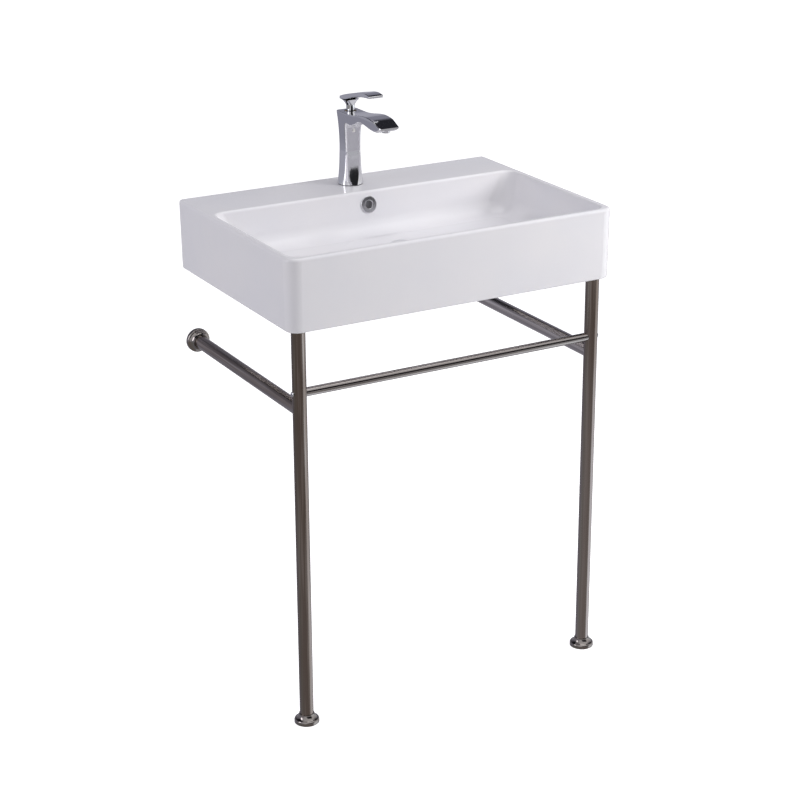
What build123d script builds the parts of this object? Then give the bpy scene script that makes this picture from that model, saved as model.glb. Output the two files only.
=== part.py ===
from build123d import *
import math
import os

# Console basin on a two-legged stand, with a single-lever mixer tap and a click waste.
# Millimetres, X to the right, Y towards the wall, Z up. The origin is on the floor under the
# middle of the basin. The wall plane, which the basin's back and the wall flanges rest on, is at
# half the basin's depth.

# Basin
basin_width = 650.0
basin_depth = 450.0
basin_height = 130.0
rim_height = 875.0
rim_width = 13.0
deck_depth = 122.0
deck_thickness = 15.0
skirt_wall = 11.0
back_wall = 13.0
wall_draft = 1.7
front_corner_radius = 24.0
back_corner_radius = 8.0
rim_edge_radius = 5.5
skirt_edge_radius = 4.0
bowl_depth = 75.0
bowl_wall = 11.0
bowl_corner_radius = 20.0
bowl_floor_corner_radius = 55.0
bowl_floor_radius = 38.0
bowl_side_slope = 22.0
bowl_front_slope = 20.0
bowl_back_slope = 15.0
floor_fall = 3.0
floor_fall_radius = 110.0
tap_hole_radius = 17.5
wall_bolt_spacing = 280.0
wall_bolt_height = 800.0
wall_bolt_hole_radius = 7.0
leg_bearing_size = 46.0
leg_bearing_height = 28.0

# Overflow
overflow_drop = 25.0
overflow_hole_radius = 11.0
overflow_ring_radius = 16.0
overflow_bore_radius = 7.5
overflow_ring_thickness = 2.6
overflow_sleeve_length = 4.5
duct_width = 30.0
duct_height = 8.0
duct_skin = 5.0
duct_side_wall = 8.0

# Waste
drain_setback = 266.0
drain_hole_radius = 23.0
waste_seat_radius = 33.0
waste_seat_depth = 2.5
waste_boss_radius = 36.0
waste_boss_drop = 20.0
waste_flange_radius = 32.0
waste_flange_thickness = 3.0
waste_thread_radius = 20.95
waste_bore_radius = 18.0
waste_length = 84.0
waste_window_height = 9.0
waste_window_width = 14.0
back_nut_radius = 29.0
back_nut_height = 9.0
tapered_seal_height = 10.0
flange_seal_thickness = 1.2
waste_relief_depth = 0.9
waste_relief_height = 2.0
cap_radius = 29.0
cap_edge_height = 3.0
cap_crown = 2.5
cap_travel = 7.0
cap_seat_gap = 0.3
cap_seal_thickness = 2.0
cap_seal_inner = 19.0
cap_seal_outer = 25.0
cap_stem_radius = 4.0
cap_stem_length = 52.0
click_radius = 9.0
click_collar_radius = 10.5
click_height = 36.0
click_collar_height = 3.0
spider_height = 4.0
spider_arm = 3.0
spider_ring_wall = 2.0
spider_drop = 38.0

# Stand
tube_radius = 12.5
tube_wall = 1.5
crossbar_radius = 8.0
crossbar_wall = 1.2
leg_inset = 27.0
leg_setback = 26.0
rail_height = 601.0
crossbar_height = 631.0
weld_gap = 0.05
plug_length = 20.0
leg_plate_radius = 14.5
leg_plate_thickness = 2.0
leg_pad_thickness = 1.5
leg_pad_radius = 13.5
rail_end_gap = 3.0
wall_thread_radius = 3.4
wall_thread_length = 24.0
cross_screw_radius = 2.5
cross_screw_head_radius = 4.6
cross_screw_head_height = 2.8
cross_screw_bite = 12.0

# Round flange, one shape at the wall and at the floor
flange_radius = 22.5
flange_height = 18.0
flange_disc_height = 9.0
flange_edge_radius = 3.5
flange_recess_radius = 18.2
flange_recess_depth = 8.6
slide_clearance = 0.3
ring_section = 1.6
ring_groove_height = 2.2

# Levelling feet
foot_pad_radius = 17.5
foot_pad_thickness = 2.0
foot_disc_thickness = 6.0
foot_stud_radius = 5.0
foot_stud_length = 30.0
leg_end_height = 11.0
thread_clearance = 0.05

# Tap
tap_setback = 57.0
gasket_thickness = 1.2
gasket_radius = 22.8
tap_base_radius = 23.5
waist_height = 64.0
waist_half = 15.8
waist_corner = 6.0
tap_top_height = 138.2
spout_reach = 151.5
spout_half_width = 21.6
spout_crown_height = 146.2
spout_brow_reach = 127.0
spout_brow_height = 143.4
spout_lip_height = 134.0
spout_under_height = 125.0
spout_edge_radius = 1.6
arch_height = 129.0
aerator_reach = 138.0
aerator_radius = 7.5
aerator_height = 8.0
aerator_wall = 1.4
aerator_proud = 1.6
waterway_radius = 3.2
waterway_height = 133.6
cartridge_reach = 4.0
cartridge_radius = 12.5
cartridge_base = 100.0
cartridge_top = 125.0
cartridge_floor = 4.0
cartridge_lid = 2.0
cartridge_wall = 1.75
nut_radius = 15.0
nut_top = 131.0
nut_bore_radius = 8.4
cover_ring_bore = 11.4
cover_ring_flange = 1.6
cover_ring_wall = 2.2
pocket_clearance = 0.15
carrier_neck_radius = 6.4
carrier_top = 133.8
running_clearance = 0.05
pivot_height = 130.0
pin_radius = 1.5
stem_half_width = 3.4
stem_shoulder_height = 120.0
stem_tip_radius = 2.6
stem_tip_height = 109.0
lever_lift = 17.0
lever_neck_radius = 7.6
lever_neck_base = 136.4
lever_half_width = 15.0
lever_back = -10.0
lever_tip = 104.0
lever_back_height = 165.0
lever_crown_height = 185.6
lever_tip_height = 182.8
lever_tip_thickness = 3.8
lever_corner_radius = 3.0
lever_edge_radius = 1.2
lever_neck_depth = 25.0
stem_top = 152.0
socket_clearance = 0.05
grub_radius = 2.5
grub_height = 146.0
grub_length = 3.0
grub_plug_radius = 3.0
grub_plug_length = 1.6
disc_thickness = 3.0
moving_disc_radius = 7.2
moving_disc_thickness = 3.5
drive_pocket_depth = 1.9
drive_pocket_clearance = 0.4
port_radius = 2.4
outlet_radius = 2.6
shank_radius = 15.5
shank_drop = 8.0
inlet_radius = 4.6
inlet_depth = 12.0
inlet_spacing = 13.0
riser_radius = 3.0
stud_radius = 3.0
stud_reach = 11.0
stud_length = 56.0
stud_bite = 12.0
clamp_slot_radius = 13.3
clamp_slot_half = 11.8
clamp_slot_reach = -7.0
clamp_washer_radius = 24.0
clamp_rubber_thickness = 3.0
clamp_steel_thickness = 2.0
clamp_nut_radius = 6.2
clamp_nut_height = 9.0

# Places worked out from the sizes above
wall_y = basin_depth / 2
front_y = -basin_depth / 2
basin_bottom = rim_height - basin_height
deck_edge_y = wall_y - deck_depth
tap_y = wall_y - tap_setback
drain_y = wall_y - drain_setback
bowl_floor = rim_height - bowl_depth
drain_floor = bowl_floor - floor_fall
leg_x = basin_width / 2 - leg_inset
leg_y = front_y + leg_setback
sides = (-1, 1)


def block(x0, x1, y0, y1, z0, z1):
    middle = Pos((x0 + x1) / 2, (y0 + y1) / 2, (z0 + z1) / 2)
    return middle * Box(x1 - x0, y1 - y0, z1 - z0)


def rod(radius, x, y, z0, z1):
    return Pos(x, y, (z0 + z1) / 2) * Cylinder(radius, z1 - z0)


def rod_y(radius, x, y0, y1, z):
    return Pos(x, (y0 + y1) / 2, z) * Rot(90, 0, 0) * Cylinder(radius, y1 - y0)


def rod_x(radius, x0, x1, y, z):
    return Pos((x0 + x1) / 2, y, z) * Rot(0, 90, 0) * Cylinder(radius, x1 - x0)


def rounded_section(half_x, y0, y1, z, radius):
    return Pos(0, (y0 + y1) / 2, z) * RectangleRounded(2 * half_x, y1 - y0, radius)


# The bowl is a rounded rectangle that narrows to its floor. The same form, grown by the wall,
# gives the outside of the shell.
def bowl_form(grow):
    half_x = basin_width / 2 - rim_width + grow
    front = front_y + rim_width - grow
    back = deck_edge_y + grow
    top = rounded_section(half_x, front, back, rim_height, bowl_corner_radius + grow)
    floor = rounded_section(
        half_x - bowl_side_slope,
        front + bowl_front_slope,
        back - bowl_back_slope,
        bowl_floor - grow,
        bowl_floor_corner_radius + grow,
    )
    form = loft([top.face(), floor.face()], ruled=True)
    floor_edges = form.edges().group_by(Axis.Z)[0]
    return fillet(floor_edges, bowl_floor_radius + grow)


def bowl_back_y(z, skin):
    return deck_edge_y - bowl_back_slope * (rim_height - z) / bowl_depth + skin


# Square to the back wall of the bowl, with its normal pointing into the bowl.
def overflow_plane():
    z = rim_height - overflow_drop
    return Plane(
        origin=(0, bowl_back_y(z, 0), z), x_dir=(1, 0, 0), z_dir=(0, -bowl_depth, bowl_back_slope)
    )


# Duct from the overflow hole down behind the bowl and forward under its floor to the waste.
def duct_outline(skin):
    outer = duct_skin + duct_height + skin
    top_z = rim_height - overflow_drop + overflow_hole_radius + skin
    low_z = drain_floor - outer
    high_z = drain_floor - duct_skin + skin
    inner = duct_skin - skin
    corners = [
        (bowl_back_y(top_z, inner), top_z),
        (bowl_back_y(top_z, outer), top_z),
        (bowl_back_y(low_z, outer), low_z),
        (drain_y + drain_hole_radius - 2, low_z),
        (drain_y + drain_hole_radius - 2, high_z),
        (bowl_back_y(high_z, inner), high_z),
    ]
    half = duct_width / 2 + (duct_side_wall if skin else 0)
    return extrude(Plane.YZ * make_face(Polyline(*corners, close=True)), half, both=True)


def make_basin():
    top = Pos(0, (front_y + wall_y) / 2 + back_corner_radius * 3, rim_height) * RectangleRounded(
        basin_width, basin_depth + back_corner_radius * 6, front_corner_radius
    )
    draft = math.degrees(math.atan(wall_draft / basin_height))
    body = extrude(top, -basin_height, taper=draft)
    reach = basin_width
    body &= block(-reach, reach, -reach, wall_y, basin_bottom, rim_height)
    back_edges = body.edges().filter_by(lambda e: abs(e.center().Y - wall_y) < 0.01)
    upright = back_edges.filter_by(lambda e: e.length < basin_width / 2)
    body = fillet(upright, back_corner_radius)
    hollow_x = basin_width / 2 - wall_draft - skirt_wall
    hollow_front = front_y + wall_draft + skirt_wall
    hollow_back = wall_y - back_wall
    hollow_top = rim_height - deck_thickness
    hollow = extrude(
        rounded_section(hollow_x, hollow_front, hollow_back, hollow_top, front_corner_radius - skirt_wall),
        -(hollow_top - basin_bottom + 1),
    )
    hollow -= bowl_form(bowl_wall)
    hollow -= duct_outline(duct_side_wall)
    hollow -= rod(waste_boss_radius, 0, drain_y, boss_bottom, bowl_floor)
    for side in sides:
        inner_x = side * (basin_width / 2 - leg_bearing_size)
        outer_x = side * basin_width
        hollow -= block(
            min(inner_x, outer_x),
            max(inner_x, outer_x),
            front_y,
            front_y + leg_bearing_size,
            basin_bottom,
            basin_bottom + leg_bearing_height,
        )
    body -= hollow
    body = soften_basin(body)
    body -= bowl_form(0)
    inner_rim = body.edges().filter_by(on_bowl_rim)
    body = fillet(inner_rim, rim_edge_radius)
    dish = (floor_fall_radius**2 + floor_fall**2) / (2 * floor_fall)
    bowl_space = rod(floor_fall_radius * 2, 0, drain_y, bowl_floor - 2 * floor_fall, bowl_floor)
    body -= bowl_space & Pos(0, drain_y, bowl_floor - floor_fall + dish) * Sphere(dish)
    body -= duct_outline(0)
    hole_depth = duct_skin + duct_height / 2
    body -= overflow_plane() * Pos(0, 0, -hole_depth / 2) * Cylinder(overflow_hole_radius, 2 * hole_depth)
    body -= rod(waste_seat_radius, 0, drain_y, drain_floor - waste_seat_depth, bowl_floor)
    body -= rod(drain_hole_radius, 0, drain_y, boss_bottom - 1, bowl_floor)
    body -= rod(back_nut_radius + 2, 0, drain_y, tapered_seal_bottom, boss_bottom)
    body -= rod(tap_hole_radius, 0, tap_y, hollow_top - 1, rim_height + 1)
    for side in sides:
        bolt_x = side * wall_bolt_spacing / 2
        body -= rod_y(wall_bolt_hole_radius, bolt_x, hollow_back - 1, wall_y + 1, wall_bolt_height)
    return body


def soften_basin(body):
    rim = body.edges().filter_by(lambda e: abs(e.center().Z - rim_height) < 0.01)
    body = fillet(rim, rim_edge_radius)
    foot = body.edges().filter_by(on_skirt_foot)
    return fillet(foot, skirt_edge_radius)


def on_skirt_foot(edge):
    middle = edge.center()
    low = abs(middle.Z - basin_bottom) < 0.01
    outside_x = abs(middle.X) > basin_width / 2 - wall_draft - skirt_wall / 2
    outside_y = middle.Y < front_y + wall_draft + skirt_wall / 2
    return low and (outside_x or outside_y)


def on_bowl_rim(edge):
    middle = edge.center()
    level = abs(middle.Z - rim_height) < 0.01
    inside_x = abs(middle.X) < basin_width / 2 - rim_width + 0.5
    inside_y = front_y + rim_width - 0.5 < middle.Y < deck_edge_y + 0.5
    return level and inside_x and inside_y


# Overflow ring
def make_overflow_ring():
    half = overflow_ring_thickness / 2
    flange = Cylinder(overflow_ring_radius, overflow_ring_thickness) - Cylinder(overflow_bore_radius, 20)
    flange = fillet(flange.edges().group_by(Axis.Z)[-1], half)
    sleeve_radius = overflow_hole_radius - slide_clearance
    sleeve = Cylinder(sleeve_radius, overflow_sleeve_length) - Cylinder(overflow_bore_radius, 20)
    ring = Pos(0, 0, half) * flange + Pos(0, 0, -overflow_sleeve_length / 2) * sleeve
    return overflow_plane() * ring


# Waste
waste_seat = drain_floor - waste_seat_depth
waste_flange_top = waste_seat + flange_seal_thickness + waste_flange_thickness
waste_bottom = waste_flange_top - waste_length
boss_bottom = drain_floor - waste_boss_drop
tapered_seal_bottom = boss_bottom - tapered_seal_height
back_nut_bottom = tapered_seal_bottom - back_nut_height
waste_relief_top = back_nut_bottom - 6
spider_top = waste_flange_top - spider_drop
click_bottom = spider_top + click_collar_height - click_height
cap_bottom = waste_flange_top + cap_seat_gap + cap_travel + cap_seal_thickness
cap_stem_bottom = cap_bottom - cap_stem_length


def drain_rod(radius, z0, z1):
    return rod(radius, 0, drain_y, z0, z1)


def drain_ring(inner, outer, z0, z1):
    return drain_rod(outer, z0, z1) - drain_rod(inner, z0 - 1, z1 + 1)


def make_waste_body():
    flange = drain_rod(waste_flange_radius, waste_flange_top - waste_flange_thickness, waste_flange_top)
    flange = fillet(flange.edges().group_by(Axis.Z)[-1], waste_flange_thickness / 2)
    body = flange + drain_rod(waste_thread_radius, waste_bottom, waste_flange_top - 1)
    body -= drain_rod(waste_bore_radius, waste_bottom - 1, waste_flange_top + 1)
    mouth = body.edges().filter_by(on_waste_mouth)
    body = chamfer(mouth, waste_flange_thickness * 0.6)
    relief = drain_ring(
        waste_thread_radius - waste_relief_depth,
        waste_thread_radius + 1,
        waste_relief_top - waste_relief_height,
        waste_relief_top,
    )
    body -= relief
    window_z = drain_floor - duct_skin - duct_height / 2
    half_w = waste_window_width / 2
    z0 = window_z - waste_window_height / 2
    z1 = window_z + waste_window_height / 2
    reach = waste_thread_radius + 1
    body -= block(-half_w, half_w, drain_y - reach, drain_y + reach, z0, z1)
    body -= block(-reach, reach, drain_y - half_w, drain_y + half_w, z0, z1)
    return body + make_spider()


def on_waste_mouth(edge):
    middle = edge.center(CenterOf.BOUNDING_BOX)
    top = abs(middle.Z - waste_flange_top) < 0.01
    return top and edge.length < 2 * math.pi * (waste_bore_radius + 0.5)


# Cross inside the waste that carries the click cartridge
def make_spider():
    z0 = spider_top - spider_height
    half = spider_arm / 2
    reach = waste_bore_radius + 0.5
    arms = block(-half, half, drain_y - reach, drain_y + reach, z0, spider_top)
    arms += block(-reach, reach, drain_y - half, drain_y + half, z0, spider_top)
    bore = click_radius + thread_clearance
    arms += drain_rod(bore + spider_ring_wall, z0, spider_top)
    return arms - drain_rod(bore, z0 - 1, spider_top + 1)


def make_click_cartridge():
    shell = drain_rod(click_radius, click_bottom, spider_top)
    shell += drain_rod(click_collar_radius, spider_top, spider_top + click_collar_height)
    bore_bottom = cap_stem_bottom - cap_travel - cap_seat_gap
    return shell - drain_rod(cap_stem_radius + running_clearance, bore_bottom, spider_top + 10)


def make_waste_cap():
    edge_top = cap_bottom + cap_edge_height
    crown = (cap_radius**2 + cap_crown**2) / (2 * cap_crown)
    dome = Pos(0, drain_y, edge_top + cap_crown - crown) * Sphere(crown)
    cap = drain_rod(cap_radius, cap_bottom, edge_top + cap_crown) & dome
    rim = cap.edges().filter_by(lambda e: e.center(CenterOf.BOUNDING_BOX).Z > cap_bottom + 1)
    cap = fillet(rim, cap_edge_height * 0.4)
    cap += drain_rod(cap_seal_inner - running_clearance, cap_bottom - cap_seal_thickness, cap_bottom + 1)
    return cap + drain_rod(cap_stem_radius, cap_stem_bottom, cap_bottom + 1)


def make_cap_seal():
    return drain_ring(cap_seal_inner, cap_seal_outer, cap_bottom - cap_seal_thickness, cap_bottom)


def make_flange_seal():
    outer = waste_flange_radius - 1
    return drain_ring(waste_thread_radius + 1, outer, waste_seat, waste_seat + flange_seal_thickness)


def make_tapered_seal():
    cone = Cone(back_nut_radius, drain_hole_radius + 3, tapered_seal_height)
    cone = Pos(0, drain_y, (boss_bottom + tapered_seal_bottom) / 2) * cone
    inner = waste_thread_radius + thread_clearance
    return cone - drain_rod(inner, tapered_seal_bottom - 1, boss_bottom + 1)


def make_back_nut():
    washer_top = tapered_seal_bottom
    washer_bottom = washer_top - back_nut_height / 3
    nut = drain_rod(back_nut_radius, washer_bottom, washer_top)
    hexagon = Pos(0, drain_y, back_nut_bottom) * RegularPolygon(back_nut_radius, 6)
    nut += extrude(hexagon, washer_bottom - back_nut_bottom)
    return nut - drain_rod(waste_thread_radius + thread_clearance, back_nut_bottom - 1, washer_top + 1)


# Stand
leg_top = basin_bottom - leg_pad_thickness - leg_plate_thickness
tube_bore = tube_radius - tube_wall
crossbar_bore = crossbar_radius - crossbar_wall
rail_end = wall_y - rail_end_gap


def make_leg(side):
    x = side * leg_x
    leg = rod(tube_radius, x, leg_y, leg_end_height, leg_top)
    leg -= rod(tube_bore, x, leg_y, leg_end_height - 1, leg_top + 1)
    reach = tube_radius + 1
    hole = cross_screw_radius + 2 * thread_clearance
    return leg - rod_x(hole, x - reach, x + reach, leg_y, crossbar_height)


def make_leg_plug(side):
    x = side * leg_x
    plug = rod(tube_bore - thread_clearance, x, leg_y, leg_top - plug_length, leg_top)
    return plug + rod(leg_plate_radius, x, leg_y, leg_top, leg_top + leg_plate_thickness)


def make_leg_pad(side):
    return rod(leg_pad_radius, side * leg_x, leg_y, basin_bottom - leg_pad_thickness, basin_bottom)


def make_side_rail(side):
    x = side * leg_x
    rail = rod_y(tube_radius, x, leg_y, rail_end, rail_height)
    rail -= rod_y(tube_bore, x, leg_y - 1, rail_end + 1, rail_height)
    seat = rod(tube_radius + weld_gap, x, leg_y, rail_height - 40, rail_height + 40)
    rail -= seat
    return rail


def make_rail_insert(side):
    x = side * leg_x
    y0 = rail_end - wall_thread_length
    insert = rod_y(tube_bore - thread_clearance, x, y0, rail_end, rail_height)
    return insert - rod_y(wall_thread_radius, x, y0 - 1, rail_end + 1, rail_height)


def make_crossbar():
    bar = rod_x(crossbar_radius, -leg_x, leg_x, leg_y, crossbar_height)
    bar -= rod_x(crossbar_bore, -leg_x - 1, leg_x + 1, leg_y, crossbar_height)
    for side in sides:
        x = side * leg_x
        bar -= rod(tube_radius + weld_gap, x, leg_y, crossbar_height - 40, crossbar_height + 40)
    return bar


def make_crossbar_insert(side):
    outer_x = side * leg_x
    inner_x = side * (leg_x - tube_radius - plug_length)
    radius = crossbar_bore - thread_clearance
    x0 = min(outer_x, inner_x)
    x1 = max(outer_x, inner_x)
    insert = rod_x(radius, x0, x1, leg_y, crossbar_height)
    insert -= rod(tube_radius + weld_gap, outer_x, leg_y, crossbar_height - 40, crossbar_height + 40)
    return insert - rod_x(cross_screw_radius + thread_clearance, x0 - 1, x1 + 1, leg_y, crossbar_height)


def make_crossbar_screw(side):
    seat_x = leg_x + tube_radius
    tip_x = leg_x - tube_radius - cross_screw_bite
    head = rod_x(cross_screw_head_radius, seat_x, seat_x + cross_screw_head_height, leg_y, crossbar_height)
    crown = head.edges().group_by(Axis.X)[-1]
    head = fillet(crown, cross_screw_head_height * 0.75)
    screw = head + rod_x(cross_screw_radius, tip_x, seat_x + 1, leg_y, crossbar_height)
    hexagon = Plane.YZ * RegularPolygon(cross_screw_radius * 0.7, 6)
    socket = extrude(hexagon, cross_screw_head_height)
    screw -= Pos(seat_x + cross_screw_head_height * 0.35, leg_y, crossbar_height) * socket
    return screw if side > 0 else mirror(screw, about=Plane.YZ)


# Flange turned about Z, with its flat side on the wall or the floor at zero height
def flange_form():
    bore = tube_radius + slide_clearance
    hub_top = tube_radius + 1.3
    outline = Polyline(
        (bore, flange_recess_depth),
        (flange_recess_radius, flange_recess_depth),
        (flange_recess_radius, 0),
        (flange_radius - 0.6, 0),
        (flange_radius, 0.6),
        (flange_radius, flange_disc_height - flange_edge_radius),
    )
    edge_centre = (flange_radius - flange_edge_radius, flange_disc_height - flange_edge_radius)
    outline += CenterArc(edge_centre, flange_edge_radius, 0, 90)
    shoulder = (flange_radius - flange_edge_radius, flange_disc_height)
    outline += ThreePointArc(shoulder, (hub_top + 2, flange_disc_height + 3), (hub_top, flange_height))
    outline += Polyline((hub_top, flange_height), (bore, flange_height), (bore, flange_recess_depth))
    form = revolve(Plane.XZ * make_face(outline), Axis.Z)
    groove_z = flange_height - 2 * ring_groove_height
    groove = Cylinder(bore + ring_section - slide_clearance, ring_groove_height) - Cylinder(bore - 1, 20)
    return form - Pos(0, 0, groove_z) * groove


def ring_form():
    inner = tube_radius + thread_clearance
    outer = tube_radius + ring_section - thread_clearance
    ring = Cylinder(outer, ring_groove_height - 2 * thread_clearance) - Cylinder(inner, 20)
    return Pos(0, 0, flange_height - 2 * ring_groove_height) * ring


def at_wall(side):
    return Pos(side * leg_x, wall_y, rail_height) * Rot(90, 0, 0)


def at_floor(side):
    return Pos(side * leg_x, leg_y, 0)


def make_foot(side):
    x = side * leg_x
    disc_top = foot_pad_thickness + foot_disc_thickness
    foot = rod(foot_pad_radius, x, leg_y, foot_pad_thickness, disc_top)
    return foot + rod(foot_stud_radius, x, leg_y, disc_top - 1, disc_top + foot_stud_length)


def make_foot_pad(side):
    return rod(foot_pad_radius, side * leg_x, leg_y, 0, foot_pad_thickness)


def make_foot_insert(side):
    x = side * leg_x
    top = leg_end_height + plug_length
    insert = rod(tube_bore - thread_clearance, x, leg_y, leg_end_height, top)
    return insert - rod(foot_stud_radius + thread_clearance, x, leg_y, leg_end_height - 1, top + 1)


# Tap. Reach is measured forward from the tap's axis, height from the deck.
tap_side = Plane(origin=(0, tap_y, rim_height), x_dir=(0, -1, 0), z_dir=(-1, 0, 0))
tap_front = Plane(origin=(0, tap_y, rim_height), x_dir=(1, 0, 0), z_dir=(0, -1, 0))
housing_radius = cartridge_radius
aerator_base = spout_under_height - aerator_proud
neck_hole = carrier_neck_radius + 2 * running_clearance
inlet_reach = cartridge_reach - 2.5
outlet_reach = cartridge_reach + 6.0
inner_radius = cartridge_radius - cartridge_wall
counterbore_radius = nut_radius + 2 * thread_clearance
fixed_disc_base = cartridge_base + cartridge_floor
moving_disc_base = fixed_disc_base + disc_thickness + running_clearance
drum_base = moving_disc_base + moving_disc_thickness + 2 * running_clearance
drum_top = cartridge_top - cartridge_lid - 2 * running_clearance
drive_reach = (pivot_height - stem_tip_height - stem_tip_radius) * math.radians(lever_lift)
slot_half = stem_half_width + 0.3
plug_y = tap_y - cartridge_reach + stem_half_width + grub_length + 0.1


# Round pieces about an upright axis at the given reach
def tap_rod(radius, reach, h0, h1):
    return rod(radius, 0, tap_y - reach, rim_height + h0, rim_height + h1)


def tap_block(half_x, reach0, reach1, h0, h1):
    return block(-half_x, half_x, tap_y - reach1, tap_y - reach0, rim_height + h0, rim_height + h1)


def tap_cross_rod(radius, x0, x1, reach, h):
    return rod_x(radius, x0, x1, tap_y - reach, rim_height + h)


def spout_outline():
    waist = (-waist_half, waist_height)
    heel = (-waist_half, tap_top_height)
    bend = (waist_half + 10, tap_top_height)
    brow = (spout_brow_reach, spout_brow_height)
    tip_foot = (spout_reach + 8.5, spout_lip_height + 1.6)
    outline = Polyline(waist, heel, bend)
    crown = [bend, (64, 142), (98, spout_crown_height), brow]
    outline += Spline(*crown, tangents=((1, 0), (1, -0.22)))
    outline += Polyline(brow, (spout_reach + 8.5, spout_brow_height + 8), tip_foot)
    front_waist = (waist_half, waist_height)
    arch = [tip_foot, (140, 125.4), (104, 125.6), (68, arch_height), (30, 116), front_waist]
    outline += Spline(*arch, tangents=((-0.8, -0.5), (0, -1)))
    outline += Line(front_waist, waist)
    return make_face(outline)


def spout_front_outline():
    top = spout_crown_height + 15
    flare = (spout_half_width, tap_top_height + 3)
    right = ThreePointArc((waist_half, waist_height), (17.4, 108), flare)
    outline = right + mirror(right, about=Plane.YZ)
    outline += Line((-waist_half, waist_height), (waist_half, waist_height))
    left_flare = (-spout_half_width, tap_top_height + 3)
    outline += Polyline(flare, (spout_half_width, top), (-spout_half_width, top), left_flare)
    return make_face(outline)


# Everything in front of the inclined face of the spout
def spout_tip_cut():
    outline = Polyline(
        (spout_brow_reach, spout_brow_height),
        (spout_reach, spout_lip_height),
        (spout_reach, 0),
        (spout_reach + 40, 0),
        (spout_reach + 40, 2 * spout_brow_height),
        (spout_brow_reach, 2 * spout_brow_height),
        close=True,
    )
    half = spout_half_width + 10
    return extrude(tap_side.offset(-half) * make_face(outline), 2 * half)


def make_upper_body():
    half = spout_half_width + 5
    reach = spout_reach + 20
    side = extrude(tap_side.offset(-half) * spout_outline(), 2 * half)
    front = extrude(tap_front.offset(-reach) * spout_front_outline(), 2 * reach)
    body = side & front
    heel = body.edges().filter_by(on_column_edge)
    body = fillet(heel, waist_corner - 0.5) - spout_tip_cut()
    rest = body.edges().filter_by(on_spout_top)
    return fillet(rest, spout_edge_radius)


# The four long edges of the column and the underside of the spout
def on_column_edge(edge):
    middle = edge.position_at(0.5)
    below = middle.Z < rim_height + tap_top_height - 2
    return below and abs(middle.X) > waist_half - 1 and edge.length > waist_height


def on_spout_top(edge):
    middle = edge.position_at(0.5)
    return middle.Z > rim_height + tap_top_height - 2.5


# The flared foot ends on the upper body's own lower face.
def make_lower_body(upper):
    levels = [
        (gasket_thickness, tap_base_radius, tap_base_radius - 0.1),
        (13, 20.75, 16),
        (30, 18.3, 11),
        (47, 16.9, 8),
    ]
    sections = []
    for height, half, corner in levels:
        section = Pos(0, tap_y, rim_height + height) * RectangleRounded(2 * half, 2 * half, corner)
        sections.append(section.face())
    return loft(sections + [upper.faces().sort_by(Axis.Z)[0]])


def make_tap_body():
    upper = make_upper_body()
    body = upper + make_lower_body(upper)
    body += tap_rod(shank_radius, 0, -shank_drop, gasket_thickness + 1)
    pocket = cartridge_radius + pocket_clearance
    body -= tap_rod(pocket, cartridge_reach, cartridge_base, cartridge_top)
    body -= tap_rod(counterbore_radius, cartridge_reach, cartridge_top, tap_top_height + 1)
    for side in sides:
        x = side * inlet_spacing / 2
        body -= Pos(x, 0, 0) * tap_rod(inlet_radius, inlet_reach, -shank_drop - 1, inlet_depth - shank_drop)
        body -= Pos(x, 0, 0) * tap_rod(riser_radius, inlet_reach, 0, cartridge_base + 1)
    body -= tap_rod(stud_radius + thread_clearance, stud_reach, -shank_drop - 1, stud_bite - shank_drop)
    socket_top = aerator_base + aerator_height
    body -= tap_rod(aerator_radius + thread_clearance, aerator_reach, aerator_base - 2, socket_top)
    return body - make_waterway()


# Straight round drilling between two points in reach and height
def drilling(radius, start, end):
    origin = Vector(0, tap_y - start[0], rim_height + start[1])
    path = Vector(0, tap_y - end[0], rim_height + end[1]) - origin
    return Plane(origin=origin + path * 0.5, z_dir=path) * Cylinder(radius, path.length)


# From the cartridge pocket up into the spout, and along it to the aerator
def make_waterway():
    bend = (28, waterway_height)
    way = drilling(waterway_radius, (16, cartridge_base + 12), bend)
    way += drilling(waterway_radius, bend, (aerator_reach, waterway_height + 1))
    return way + Pos(0, tap_y - bend[0], rim_height + bend[1]) * Sphere(waterway_radius)


def make_base_gasket():
    ring = tap_rod(gasket_radius, 0, 0, gasket_thickness)
    return ring - tap_rod(shank_radius + slide_clearance, 0, -1, gasket_thickness + 1)


def make_aerator_body():
    tube = tap_rod(aerator_radius, aerator_reach, aerator_base, aerator_base + aerator_height)
    rim = tube.edges().group_by(Axis.Z)[0]
    tube = fillet(rim, aerator_wall * 0.4)
    return tube - tap_rod(aerator_radius - aerator_wall, aerator_reach, aerator_base - 1, aerator_base + 20)


# Perforated disc that parts the jet
def make_aerator_insert():
    radius = aerator_radius - aerator_wall - thread_clearance
    base = aerator_base + 1
    insert = tap_rod(radius, aerator_reach, base, base + 3)
    centre = Pos(0, tap_y - aerator_reach, rim_height + base + 1.5)
    holes = centre * PolarLocations(radius * 0.62, 8) * Cylinder(radius * 0.17, 4)
    return insert - holes - centre * Cylinder(radius * 0.2, 4)


# Cartridge
def make_cartridge_housing():
    housing = tap_rod(housing_radius, cartridge_reach, cartridge_base, cartridge_top)
    housing -= tap_rod(inner_radius, cartridge_reach, fixed_disc_base, cartridge_top - cartridge_lid)
    housing -= tap_rod(neck_hole, cartridge_reach, cartridge_top - cartridge_lid - 1, cartridge_top + 1)
    housing -= inlet_ports(cartridge_base - 1, fixed_disc_base + 1)
    outlet = tap_rod(outlet_radius, outlet_reach, cartridge_base + 1.2, fixed_disc_base + 1)
    housing -= outlet
    return housing


def inlet_ports(h0, h1):
    ports = tap_rod(port_radius, inlet_reach, h0, h1)
    return Pos(-inlet_spacing / 2, 0, 0) * ports + Pos(inlet_spacing / 2, 0, 0) * ports


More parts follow.
